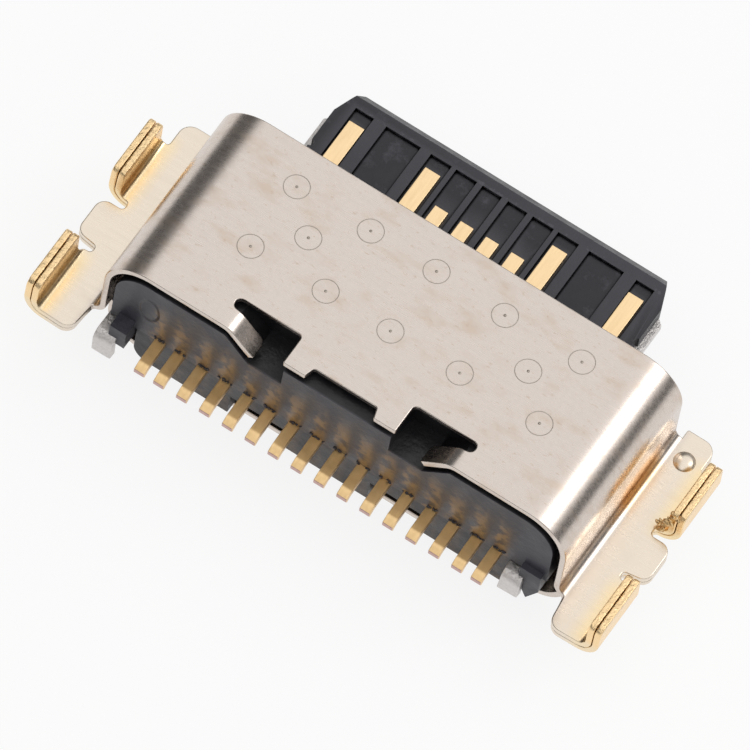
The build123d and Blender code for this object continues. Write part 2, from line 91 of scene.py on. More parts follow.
def material(name):
    """A node material, its tree and Principled shader, and the place on the object in mm."""
    mat = bpy.data.materials.new(name)
    mat.use_nodes = True
    tree = mat.node_tree
    tree.nodes.clear()
    shader = put(tree, "ShaderNodeBsdfPrincipled")
    put(tree, "ShaderNodeOutputMaterial", Surface=shader)
    place = put(tree, "ShaderNodeTexCoord").outputs["Object"]
    mm = put(tree, "ShaderNodeVectorMath", {"operation": "SCALE"}, i0=place, Scale=1 / MM)
    return mat, tree, shader, mm


def shown(name, data):
    """A new object in the scene."""
    obj = bpy.data.objects.new(name, data)
    bpy.context.scene.collection.objects.link(obj)
    return obj


def finished(name, bm, mat):
    """The mesh, made in mm, as a smooth object in metres."""
    bmesh.ops.scale(bm, vec=(MM, MM, MM), verts=bm.verts)
    mesh = bpy.data.meshes.new(name)
    bm.to_mesh(mesh)
    bm.free()
    mesh.materials.append(mat)
    mesh.shade_smooth()
    return shown(name, mesh)


def shade_by_area(mesh):
    """Corner normals led by the largest faces, so that wide panels shade flat to their rims."""
    faces = mesh.polygons
    around = [[] for _ in mesh.vertices]
    for face in faces:
        for v in face.vertices:
            around[v].append(face.index)
    flat, least = [face.normal.copy() for face in faces], math.cos(math.radians(ONE_FACE))
    corners = []
    for face in faces:
        for v in face.vertices:
            near = (g for g in around[v] if flat[g].dot(flat[face.index]) > least)
            corners.append(sum((flat[g] * faces[g].area for g in near), Vector()).normalized())
    mesh.normals_split_custom_set(corners)


def eased(node, name, mat, width, change=None):
    """A copy of a CAD node's mesh with its edges rounded, which stands for the node."""
    bm = bmesh.new()
    bm.from_mesh(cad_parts[node].data)
    bmesh.ops.scale(bm, vec=(1 / MM, 1 / MM, 1 / MM), verts=bm.verts)
    bmesh.ops.remove_doubles(bm, verts=bm.verts, dist=0.0005)
    bmesh.ops.dissolve_limit(bm, angle_limit=math.radians(1), verts=bm.verts, edges=bm.edges)
    if change:
        change(bm)
    piece = finished(name, bm, mat)
    bevel = piece.modifiers.new("edges", "BEVEL")
    bevel.width, bevel.segments = width * MM, 2
    bevel.limit_method, bevel.angle_limit = "ANGLE", math.radians(EASE_ANGLE)
    bevel.use_clamp_overlap = True
    graph = bpy.context.evaluated_depsgraph_get()
    sharp, piece.data = piece.data, bpy.data.meshes.new_from_object(piece.evaluated_get(graph))
    piece.modifiers.clear()
    bpy.data.meshes.remove(sharp)
    piece.data.name = name
    bm = bmesh.new()
    bm.from_mesh(piece.data)
    bmesh.ops.remove_doubles(bm, verts=bm.verts, dist=SPECK * MM)
    bmesh.ops.dissolve_degenerate(bm, dist=SPECK * MM, edges=bm.edges)
    bm.to_mesh(piece.data)
    bm.free()
    shade_by_area(piece.data)
    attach(piece, "root")
    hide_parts(node)


# Gold over copper alloy. The plating is thin, with the stamping's draw lines under it every
# 0.04 mm, so it is satin rather than bright. The pads are pale, the tails browned by soldering.
# Along each tail a painted shade stands for the dark plastic it reflects, and a painted highlight
# brightens its toe.
contact_gold, tree, shader, mm = material("gold_plated_contact")
along = put(tree, "ShaderNodeSeparateXYZ", Vector=mm).outputs["Y"]
tail = put(tree, "ShaderNodeMapRange", SMOOTH, Value=along, From_Min=TAIL_ROOT_Y + BROWN_REACH,
           From_Max=TAIL_ROOT_Y)
# Painted shade down the middle of each tail, then a painted highlight on its toe.
painted_shade_fade = put(tree, "ShaderNodeMapRange", SMOOTH, Value=along, From_Min=PAINTED_SHADE_Y[0],
             From_Max=PAINTED_SHADE_Y[1])
painted_highlight_toe = put(tree, "ShaderNodeMapRange", SMOOTH, Value=along, From_Min=PAINTED_HIGHLIGHT_Y[0], From_Max=PAINTED_HIGHLIGHT_Y[1])
cut_end = put(tree, "ShaderNodeMapRange", Value=along, From_Min=CUT_END_Y[0],
              From_Max=CUT_END_Y[1])
stretch = put(tree, "ShaderNodeMapping", Vector=mm, Scale=(26, 2.2, 26))
draw = put(tree, "ShaderNodeTexNoise", Vector=stretch, Scale=1.0, Detail=3.0)
patch = put(tree, "ShaderNodeTexNoise", Vector=mm, Scale=3.5, Detail=4.0, Roughness=0.6)
root = put(tree, "ShaderNodeMix", COLOURS, Factor=patch, A="#dcb47c", B="#f8d69c")
# The darker gold is painted shade and the bright toe colour a painted highlight; the cut end is
# bare copper.
painted_shade_gold = put(tree, "ShaderNodeMix", COLOURS, Factor=patch, A="#c49f68", B="#eac692")
tail_browning_and_painted_light = put(tree, "ShaderNodeMix", COLOURS, Factor=painted_shade_fade, A=root, B=painted_shade_gold)
tail_browning_and_painted_light = put(tree, "ShaderNodeMix", COLOURS, Factor=painted_highlight_toe, A=tail_browning_and_painted_light, B="#f3d09a")
tail_browning_and_painted_light = put(tree, "ShaderNodeMix", COLOURS, Factor=cut_end, A=tail_browning_and_painted_light, B="#c9aaa4")
gold = put(tree, "ShaderNodeMix", COLOURS, Factor=tail, A="#ffe0b0", B=tail_browning_and_painted_light)
rough = put(tree, "ShaderNodeMapRange", Value=draw, From_Min=0.3, From_Max=0.7, To_Min=0.30,
            To_Max=0.46)
grain = put(tree, "ShaderNodeBump", Height=draw, Strength=0.35, Distance=0.006 * MM)
feed(shader, Base_Color=gold, Metallic=1.0, Roughness=rough, Normal=grain)

for row in ("upper", "lower"):
    for number in range(1, 9):
        node = f"{row}_contact_{number}"
        eased(node, f"{node}_strip", contact_gold, CONTACT_EASE)

# Mid plate
# A stamped plate of stainless steel in the middle of the tongue, which takes the wear of the
# plug's latches at its sides. Its two legs come out beside the lower block and go to the board.

PLATE_EASE = 0.018
LEG_Y = -3.6                  # the legs lie behind this
TEAR = 0.03                   # how far the shears drag their feet out of shape
TEAR_GRAIN = 4.0              # bumps of the tear per mm
TEAR_SEED = 1                 # the same tear in every run

# Bare stainless steel, sheared and tumbled: grey, rather rough, with small dents 0.07 mm wide.
plate_steel, tree, shader, mm = material("tumbled_plate_steel")
speck = put(tree, "ShaderNodeTexNoise", Vector=mm, Scale=14.0, Detail=5.0, Roughness=0.65)
tone = put(tree, "ShaderNodeMix", COLOURS, Factor=speck, A="#b6b2b0", B="#f6f2ef")
rough = put(tree, "ShaderNodeMapRange", Value=speck, From_Min=0.35, From_Max=0.65, To_Min=0.28,
            To_Max=0.5)
dents = put(tree, "ShaderNodeBump", Height=speck, Strength=0.8, Distance=0.03 * MM)
feed(shader, Base_Color=tone, Metallic=1.0, Roughness=rough, Normal=dents)


def torn(bm):
    """The feet of the legs are left rough and uneven by the shears."""
    noise.seed_set(TEAR_SEED)
    for v in bm.verts:
        if v.co.y < LEG_Y:
            v.co += noise.noise_vector(v.co * TEAR_GRAIN) * TEAR


eased("mid_plate", "mid_plate_sheet", plate_steel, PLATE_EASE, torn)

# Tongue
# Black glass-filled plastic, moulded round the plate and both rows of contacts, with ribs between
# the pads. It stands out of the mouth, because the covers end short of its tip.

TONGUE_EASE = 0.014
CHANNEL_FLOOR = 0.30          # the CAD's channel floor, from the plate's middle
CHANNEL_DEEPER = 0.02         # the real one lies a little deeper
CHANNEL_END_Y = 1.72          # end wall of the channels, scuffed by the plug
SCUFF_HALF = (0.05, 0.02)     # the scuffs fade in from the first distance to the second
PAINTED_SHADE_WIDTH = 0.06                 # width of the painted shade line in the channels' corners
TIMES = {"operation": "MULTIPLY"}


def deeper(bm):
    """Sets the channels' floors at their real depth."""
    for v in bm.verts:
        if abs(abs(v.co.z) - CHANNEL_FLOOR) < 0.004:
            v.co.z -= math.copysign(CHANNEL_DEEPER, v.co.z)


def distance(tree, value, centre):
    """How far a value lies from the centre, either way."""
    off = put(tree, "ShaderNodeMath", {"operation": "SUBTRACT"}, i0=value, i1=centre)
    return put(tree, "ShaderNodeMath", {"operation": "ABSOLUTE"}, i0=off)


# Moulded black plastic, glass-filled: satin, IOR 1.5, a fine spark-eroded grain of 0.03 mm, and
# pale rubbed marks where the plug has gone in, most along the edges and at the channels' ends.
# A painted shade darkens the channels' corners and dims their reflection.
tongue_black, tree, shader, mm = material("moulded_black_plastic")
grit = put(tree, "ShaderNodeTexNoise", Vector=mm, Scale=28.0, Detail=3.0)
rub = put(tree, "ShaderNodeTexNoise", Vector=mm, Scale=2.6, Detail=6.0, Roughness=0.7)
rubbed = put(tree, "ShaderNodeMapRange", Value=rub, From_Min=0.52, From_Max=0.75)
edge = put(tree, "ShaderNodeNewGeometry").outputs["Pointiness"]
worn = put(tree, "ShaderNodeMapRange", Value=edge, From_Min=0.53, From_Max=0.62, To_Max=0.55)
along = put(tree, "ShaderNodeSeparateXYZ", Vector=mm).outputs["Y"]
at_end = put(tree, "ShaderNodeMapRange", Value=distance(tree, along, CHANNEL_END_Y),
             From_Min=SCUFF_HALF[0], From_Max=SCUFF_HALF[1])
scratch = put(tree, "ShaderNodeTexNoise", Vector=mm, Scale=7.0, Detail=5.0, Roughness=0.7)
scuff = put(tree, "ShaderNodeMapRange", Value=scratch, From_Min=0.5, From_Max=0.62, To_Max=1.6)
scuff = put(tree, "ShaderNodeMath", TIMES, i0=scuff, i1=at_end)
worn = put(tree, "ShaderNodeMath", {"operation": "MAXIMUM"}, i0=worn, i1=scuff)
light = put(tree, "ShaderNodeMath", {"operation": "MAXIMUM", "use_clamp": True}, i0=worn,
            i1=rubbed)
light = put(tree, "ShaderNodeMath", TIMES, i0=light, i1=0.35)
black = put(tree, "ShaderNodeMix", COLOURS, Factor=light, A="#1f1e26", B="#77757c")
# Painted shade: an occlusion mask turns the channels' corners near black.
painted_shade_ao = put(tree, "ShaderNodeAmbientOcclusion", {"samples": 8, "only_local": True},
             Distance=PAINTED_SHADE_WIDTH * MM)
corner = put(tree, "ShaderNodeMapRange", Value=painted_shade_ao.outputs["AO"], From_Min=0.60, From_Max=0.88)
black = put(tree, "ShaderNodeMix", COLOURS, Factor=corner, A="#020203", B=black)
rough = put(tree, "ShaderNodeMapRange", Value=rub, From_Min=0.35, From_Max=0.7, To_Min=0.36,
            To_Max=0.55)
skin = put(tree, "ShaderNodeBump", Height=grit, Strength=0.35, Distance=0.01 * MM)
# The painted corner shade also dims the plastic's specular reflection there.
shine_dimmed_by_painted_shade = put(tree, "ShaderNodeMath", TIMES, i0=corner, i1=0.5)
feed(shader, Base_Color=black, Specular_IOR_Level=shine_dimmed_by_painted_shade, IOR=1.5, Roughness=rough, Normal=skin)

eased("tongue_body", "tongue_moulding", tongue_black, TONGUE_EASE, deeper)

# Inner shell
# A drawn tube of thin stainless steel, nickel plated, with rounded sides: the mouth that the plug
# goes into. Its front lip is rounded, and the covers are welded to its flat faces.

TUBE_HALF_W, TUBE_HALF_H, TUBE_T, TUBE_REAR = 4.35, 1.43, 0.15, -2.77
SIDE_STEPS = 32               # facets of each rounded side
LIP_R = 0.07
LIP_TURN = [math.radians(22.5 * k) for k in range(5)]
SHARP_FROM = math.radians(35)


def shell_loop(bm, inset, y):
    """One turn round the tube, inset from its outside, full-radius sides."""
    r = TUBE_HALF_H - inset
    c = TUBE_HALF_W - TUBE_HALF_H
    loop = []
    for side in (1, -1):
        for k in range(SIDE_STEPS + 1):
            t = math.radians(90 - 180 * k / SIDE_STEPS) * side
            loop.append(bm.verts.new((side * (c + r * math.cos(t)), y, r * math.sin(t))))
    return loop


bm = bmesh.new()
section = [(0.0, TUBE_REAR), (0.0, -LIP_R)]
section += [(LIP_R - LIP_R * math.cos(t), -LIP_R + LIP_R * math.sin(t)) for t in LIP_TURN[1:]]
section += [(TUBE_T - LIP_R + LIP_R * math.sin(t), -LIP_R + LIP_R * math.cos(t))
            for t in LIP_TURN]
section += [(TUBE_T, TUBE_REAR)]
loops = [shell_loop(bm, inset, y) for inset, y in section]
for a, b in zip(loops, loops[1:] + loops[:1]):
    for i in range(len(a)):
        j = (i + 1) % len(a)
        bm.faces.new((a[i], a[j], b[j], b[i]))
bmesh.ops.recalc_face_normals(bm, faces=bm.faces)

# Drawn nickel-plated steel: satin, with draw lines along the mouth every 0.05 mm and a dull,
# slightly warm tone inside.
shell_nickel, tree, shader, mm = material("drawn_nickel_shell")
stretch = put(tree, "ShaderNodeMapping", Vector=mm, Scale=(18, 0.8, 18))
draw = put(tree, "ShaderNodeTexNoise", Vector=stretch, Scale=1.0, Detail=4.0)
tone = put(tree, "ShaderNodeMix", COLOURS, Factor=draw, A="#bdb4ab", B="#ddd5cc")
rough = put(tree, "ShaderNodeMapRange", Value=draw, From_Min=0.3, From_Max=0.7, To_Min=0.26,
            To_Max=0.4)
lines = put(tree, "ShaderNodeBump", Height=draw, Strength=0.3, Distance=0.008 * MM)
feed(shader, Base_Color=tone, Metallic=1.0, Roughness=rough, Normal=lines)

tube = finished("inner_shell_tube", bm, shell_nickel)
tube.data.set_sharp_from_angle(angle=SHARP_FROM)
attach(tube, "root")
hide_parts("inner_shell")

# Rear blocks
# Two pieces of dark grey glass-filled plastic that close the covers behind the tube. They meet
# at the tails, and the risers of the upper row show through the skin as brown smoky bars.

BLOCK_EASE = 0.02
TAIL_PITCH = 0.45
STAIN_X = (3.75, 3.35)        # the bars fade in over these distances from the middle
STAIN_Z = (1.15, 0.25)        # and from this height down to this
BACK_Y = (-3.60, -3.635)      # the stains lie only on the rear face, and in front of it the grey is a painted shade
PIN_MARK = (-3.60, -3.6, 0.62)        # middle of the ejector pin's oval mark
PIN_SIZE = (0.20, 40.0, 0.34)         # its half width and half height, any depth

# Moulded dark grey plastic: satin, IOR 1.52, with a grain of 0.04 mm and a slight swell of 0.5 mm.
# The brown flux stains stand at the pitch of the tails, blurred and broken at 0.2 mm. In front of
# the rear face, in the pockets under the cover, a painted shade makes the plastic near black.
block_grey, tree, shader, mm = material("stained_grey_plastic")
parts = put(tree, "ShaderNodeSeparateXYZ", Vector=mm)
grit = put(tree, "ShaderNodeTexNoise", Vector=mm, Scale=24.0, Detail=3.0)
cloud = put(tree, "ShaderNodeTexNoise", Vector=mm, Scale=1.9, Detail=5.0, Roughness=0.6)
blur = put(tree, "ShaderNodeTexNoise", Vector=mm, Scale=4.5, Detail=4.0, Roughness=0.6)
wobble = put(tree, "ShaderNodeMapRange", Value=blur, To_Min=-0.14, To_Max=0.14)
across = put(tree, "ShaderNodeMath", {"operation": "ADD"}, i0=parts.outputs["X"], i1=wobble)
turns = put(tree, "ShaderNodeMath", TIMES, i0=across, i1=2 * math.pi / TAIL_PITCH)
wave = put(tree, "ShaderNodeMath", {"operation": "COSINE"}, i0=turns)
bar = put(tree, "ShaderNodeMapRange", SMOOTH, Value=wave, From_Min=1.0, From_Max=-0.7, To_Min=0.2)
low = put(tree, "ShaderNodeMapRange", SMOOTH, Value=parts.outputs["Z"], From_Min=STAIN_Z[0],
          From_Max=STAIN_Z[1])
inside = put(tree, "ShaderNodeMath", {"operation": "ABSOLUTE"}, i0=parts.outputs["X"])
inside = put(tree, "ShaderNodeMapRange", SMOOTH, Value=inside, From_Min=STAIN_X[0],
             From_Max=STAIN_X[1])
rear_face_else_painted_shade = put(tree, "ShaderNodeMapRange", Value=parts.outputs["Y"], From_Min=BACK_Y[0],
             From_Max=BACK_Y[1])
patch = put(tree, "ShaderNodeMapRange", SMOOTH, Value=blur, From_Min=0.36, From_Max=0.60,
            To_Min=0.2)
mask = bar
for other in (low, inside, rear_face_else_painted_shade, patch):
    mask = put(tree, "ShaderNodeMath", TIMES, i0=mask, i1=other)
grey = put(tree, "ShaderNodeMix", COLOURS, Factor=cloud, A="#1a1b21", B="#4b4a53")
# Painted shade: everything in front of the rear face, in the pockets under the cover, is near
# black.
grey = put(tree, "ShaderNodeMix", COLOURS, Factor=rear_face_else_painted_shade, A="#161619", B=grey)
stain = put(tree, "ShaderNodeMix", COLOURS, Factor=mask, A=grey, B="#95754e")
rough = put(tree, "ShaderNodeMapRange", Value=cloud, From_Min=0.35, From_Max=0.65, To_Min=0.34,
            To_Max=0.52)
skin = put(tree, "ShaderNodeBump", Height=grit, Strength=0.3, Distance=0.01 * MM)
swell = put(tree, "ShaderNodeBump", Height=cloud, Strength=0.5, Distance=0.06 * MM, Normal=skin)
pin = put(tree, "ShaderNodeMapping", {"vector_type": "TEXTURE"}, Vector=mm, Location=PIN_MARK,
          Scale=PIN_SIZE)
pin = put(tree, "ShaderNodeVectorMath", {"operation": "LENGTH"}, i0=pin)
pin = put(tree, "ShaderNodeMapRange", SMOOTH, Value=pin, From_Min=0.75, From_Max=1.05)
dimple = put(tree, "ShaderNodeBump", Height=pin, Strength=1.0, Distance=0.04 * MM, Normal=swell)
feed(shader, Base_Color=stain, IOR=1.52, Roughness=rough, Normal=dimple)

eased("upper_rear_block", "upper_block_moulding", block_grey, BLOCK_EASE)
eased("lower_rear_block", "lower_block_moulding", block_grey, BLOCK_EASE)

# Flux beads at the tail roots
# Black residue and flash of plastic where each tail leaves the parting line: a few small rough
# lumps to a tail, baked on.

BEAD_R = 0.028
TAIL_COUNT = 16
BEADS_PER_TAIL = 9
ROOT_Z = -0.10
PROUD = 0.004                 # how far the beads' middles stand behind the block
FULL_TURN = 6.28
VECTORS = {"data_type": "FLOAT_VECTOR"}


def group(name, **kinds):
    """A Geometry Nodes tree with these inputs and a Material, and the node that gives them."""
    tree = bpy.data.node_groups.new(name, "GeometryNodeTree")
    for key, kind in {**kinds, "Material": "Material"}.items():
        tree.interface.new_socket(key.replace("_", " "), in_out="INPUT",
                                  socket_type="NodeSocket" + kind)
    tree.interface.new_socket("Geometry", in_out="OUTPUT", socket_type="NodeSocketGeometry")
    return tree, put(tree, "NodeGroupInput")


def close(tree, given, instances):
    """Ends a tree: its instances made real, in the material that it is given."""
    real = put(tree, "GeometryNodeRealizeInstances", Geometry=instances)
    coated = put(tree, "GeometryNodeSetMaterial", Geometry=real,
                 Material=given.outputs["Material"])
    put(tree, "NodeGroupOutput", Geometry=coated)


def grown(name, tree, slot, **values):
    """The plain mesh that a Geometry Nodes tree makes, riding with the port."""
    holder = shown(name + "_maker", bpy.data.meshes.new(name + "_maker"))
    maker = holder.modifiers.new("maker", "NODES")
    maker.node_group = tree
    for item in tree.interface.items_tree:
        if item.in_out == "INPUT":
            maker[item.identifier] = values[item.name.replace(" ", "_")]
    graph = bpy.context.evaluated_depsgraph_get()
    mesh = bpy.data.meshes.new_from_object(holder.evaluated_get(graph))
    mesh.name = name
    bpy.data.objects.remove(holder)
    mesh.shade_smooth()
    piece = shown(name, mesh)
    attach(piece, "root")


beads, given = group("root_beads", Pitch="Float", Count="Int", Radius="Float", Per_tail="Int")
total = put(beads, "ShaderNodeMath", TIMES, i0=given.outputs["Count"],
            i1=given.outputs["Per tail"])
points = put(beads, "GeometryNodePoints", Count=total)
index = put(beads, "GeometryNodeInputIndex")
which = put(beads, "ShaderNodeMath", {"operation": "DIVIDE"}, i0=index,
            i1=given.outputs["Per tail"])
which = put(beads, "ShaderNodeMath", {"operation": "FLOOR"}, i0=which)
off = put(beads, "ShaderNodeMath", {"operation": "SUBTRACT"}, i0=which, i1=(TAIL_COUNT - 1) / 2)
off = put(beads, "ShaderNodeMath", TIMES, i0=off, i1=given.outputs["Pitch"])
root = put(beads, "ShaderNodeCombineXYZ", X=off, Y=(TAIL_ROOT_Y - PROUD) * MM, Z=ROOT_Z * MM)
scatter = put(beads, "FunctionNodeRandomValue", VECTORS, Seed=7,
              Min=(-0.13 * MM, -0.012 * MM, -0.02 * MM), Max=(0.13 * MM, 0.0, 0.035 * MM))
spot = put(beads, "ShaderNodeVectorMath", {"operation": "ADD"}, i0=root, i1=scatter)
placed = put(beads, "GeometryNodeSetPosition", Geometry=points, Position=spot)
lump = put(beads, "GeometryNodeMeshIcoSphere", Radius=given.outputs["Radius"], Subdivisions=2)
uneven = put(beads, "ShaderNodeTexNoise", Scale=30 / MM, Detail=1.0)
uneven = put(beads, "ShaderNodeVectorMath", {"operation": "SCALE"}, i0=uneven.outputs["Color"],
             Scale=0.012 * MM)
lump = put(beads, "GeometryNodeSetPosition", Geometry=lump, Offset=uneven)
size = put(beads, "FunctionNodeRandomValue", VECTORS, Seed=3, Min=(0.6, 0.45, 0.45),
           Max=(1.5, 0.8, 1.0))
turn = put(beads, "FunctionNodeRandomValue", VECTORS, Seed=5, Max=(0.6, FULL_TURN, 0.6))
lumps = put(beads, "GeometryNodeInstanceOnPoints", Points=placed, Instance=lump, Rotation=turn,
            Scale=size)
close(beads, given, lumps)

# Charred flux: black, half glossy, crumbly at 0.025 mm.
char, tree, shader, mm = material("charred_flux")
crumb = put(tree, "ShaderNodeTexNoise", Vector=mm, Scale=40.0, Detail=3.0)
tone = put(tree, "ShaderNodeMix", COLOURS, Factor=crumb, A="#141416", B="#4a4850")
lumpy = put(tree, "ShaderNodeBump", Height=crumb, Strength=0.8, Distance=0.02 * MM)
feed(shader, Base_Color=tone, Roughness=0.4, Normal=lumpy)

grown("tail_root_beads", beads, "rear_plastic", Pitch=TAIL_PITCH * MM, Count=TAIL_COUNT,
      Radius=BEAD_R * MM, Per_tail=BEADS_PER_TAIL, Material=char)

# Folded covers
# Two halves of the outer cover: stamped stainless sheet, 0.12 mm, nickel plated, with a flash of
# gold on the solder tabs. Each is cut flat, then bent along lines parallel to the mouth.

SHEET = 0.12
SHEAR_R = 0.024               # rounding that shearing and tumbling leave on the edges
WALL_X = 4.46                 # mid thickness of the walls
PANEL_Z = 1.49                # mid thickness of the flat panels
WING_MID = -0.39              # mid thickness of the upper wing, the lower one lies under it
UPPER_SHOULDER_R, LOWER_SHOULDER_R = 0.85, 0.70
ROOT_R = 0.17                 # inside the bend from wall to wing
FOLD_R = 0.12                 # inside the bend from wing to tab
BEND_STEP = math.radians(5)   # one facet of a bend
TAB_IN_X, TAB_TOP = 5.38, 0.28
TAB_AIR = 0.012               # between the two leaves of a tab
COVER_REAR, LOWER_REAR = -3.62, -3.25
WING_FRONT, WING_REAR = 0.19, -4.22
WING_FRONT_X = 4.64           # where the rims of wall and wing meet in front
WING_REAR_X = (4.69, 4.62)    # the wing's rear corner and the relief behind the wall
FRONT_TAB = (-1.66, -0.36)    # from rear to front
REAR_TAB = (WING_REAR, -2.90)
LOBE = (-2.60, -1.83)         # flat lobe between the tabs
NOTCH_X, LOBE_X, EAR_X = 5.19, 5.62, 5.24
STEP_X = (5.34, 5.42)         # small step before the rear tab
WINDOW_X, WINDOW_Y = (1.10, 2.345), -3.01
RECESS_X, RECESS_Y = (0.61, 0.67), -3.41
LATCH_TIP_X, LATCH_Y = 1.50, -3.23
LATCH_SIDE_X = (2.17, 2.20)   # its root, at the rear edge and at its front edge
LATCH_FROM_X = 2.50           # the line of the bent latch starts in the flat panel here
LATCH_LINE = ((2.18, PANEL_Z), (1.30, 0.70))        # corner of the bend, and where it aims
LATCH_R = 0.28
LATCH_REACH_X = (1.3, 2.32)   # what lies between these is bent down
LATCH_CUTS = [1.44 + 0.05 * k for k in range(19)]
BOSS_AT, BOSS_R, BOSS_H = (4.92, -0.36), 0.175, 0.085
BOSS_SUNK = 0.004             # its rim lies this deep in the wing
BOSS_RINGS, BOSS_SIDES = 8, 24


def bend_line(corners, radii):
    """Straight runs joined by arcs: (start length, end length, point, direction, turn, radius)."""
    runs, length, at = [], 0.0, Vector(corners[0])
    for i in range(1, len(corners)):
        corner = Vector(corners[i])
        ahead = (corner - Vector(corners[i - 1])).normalized()
        turn, cut = 0.0, 0.0
        if i < len(corners) - 1:
            after = (Vector(corners[i + 1]) - corner).normalized()
            turn = math.atan2(ahead.x * after.y - ahead.y * after.x, ahead.dot(after))
            cut = radii[i - 1] * math.tan(abs(turn) / 2)
        end = corner - ahead * cut
        straight = (end - at).length
        runs.append((length, length + straight, at, ahead, 0.0, 0.0))
        length += straight
        if turn:
            arc = radii[i - 1] * abs(turn)
            runs.append((length, length + arc, end, ahead, turn, radii[i - 1]))
            length += arc
            at = corner + after * cut
    return runs


def on_bend(runs, s):
    """Point and normal of the mid line at length s. The normal points left of the direction."""
    low, _, at, ahead, turn, radius = next((run for run in runs if s <= run[1]), runs[-1])
    left = Vector((-ahead.y, ahead.x))
    if not turn:
        return at + ahead * (s - low), left
    way = math.copysign(1, turn)
    centre = at + left * radius * way
    swing = Matrix.Rotation((s - low) / radius * way, 2)
    return centre + swing @ (at - centre), swing @ left


def rounded(points):
    """A closed outline from (x, y, corner radius), corners turned into arcs."""
    out = []
    for i, (x, y, r) in enumerate(points):
        here = Vector((x, y))
        if not r:
            out.append(here)
            continue
        before, after = Vector(points[i - 1][:2]), Vector(points[(i + 1) % len(points)][:2])
        a, b = (before - here).normalized(), (after - here).normalized()
        half = math.acos(max(-1, min(1, a.dot(b)))) / 2
        cut = r / math.tan(half)
        centre = here + (a + b).normalized() * (r / math.sin(half))
        p, q = here + a * cut - centre, here + b * cut - centre
        sweep = math.atan2(p.x * q.y - p.y * q.x, p.dot(q))
        steps = max(3, int(abs(sweep) / math.radians(12)))
        out += [centre + Matrix.Rotation(sweep * k / steps, 2) @ p for k in range(steps + 1)]
    return out


def blank(outline):
    """The flat stamping: the outline given the sheet's thickness, its sheared rim rounded."""
    bm = bmesh.new()
    top = bm.faces.new([bm.verts.new((p.x, p.y, SHEET / 2)) for p in outline])
    copied = bmesh.ops.extrude_face_region(bm, geom=[top], use_keep_orig=True)
    moved = [g for g in copied["geom"] if isinstance(g, bmesh.types.BMVert)]
    bmesh.ops.translate(bm, verts=moved, vec=(0, 0, -SHEET))
    bmesh.ops.recalc_face_normals(bm, faces=bm.faces)
    rims = [e for e in bm.edges if abs(e.verts[0].co.z - e.verts[1].co.z) < 1e-6]
    bmesh.ops.bevel(bm, geom=rims, offset=SHEAR_R, offset_type="OFFSET", segments=3,
                    profile=0.5, affect="EDGES", clamp_overlap=True)
    return bm


def boss(bm):
    """The domed locating boss pressed up out of the right wing, with a soft foot."""
    x, y = BOSS_AT
    rings = []
    for k in range(BOSS_RINGS):
        t = math.radians(90 * k / BOSS_RINGS)
        out = BOSS_R * math.cos(t) + 0.02 * max(0.0, 1 - k / 2)
        z = WING_MID + SHEET / 2 - BOSS_SUNK + BOSS_H * math.sin(t) ** 0.8
        rings.append([bm.verts.new((x + out * math.cos(a), y + out * math.sin(a), z))
                      for a in (2 * math.pi * j / BOSS_SIDES for j in range(BOSS_SIDES))])
    for a, b in zip(rings, rings[1:]):
        for j in range(BOSS_SIDES):
            i = (j + 1) % BOSS_SIDES
            bm.faces.new((a[j], a[i], b[i], b[j]))
    bm.faces.new(rings[-1])
    bm.faces.new(list(reversed(rings[0])))


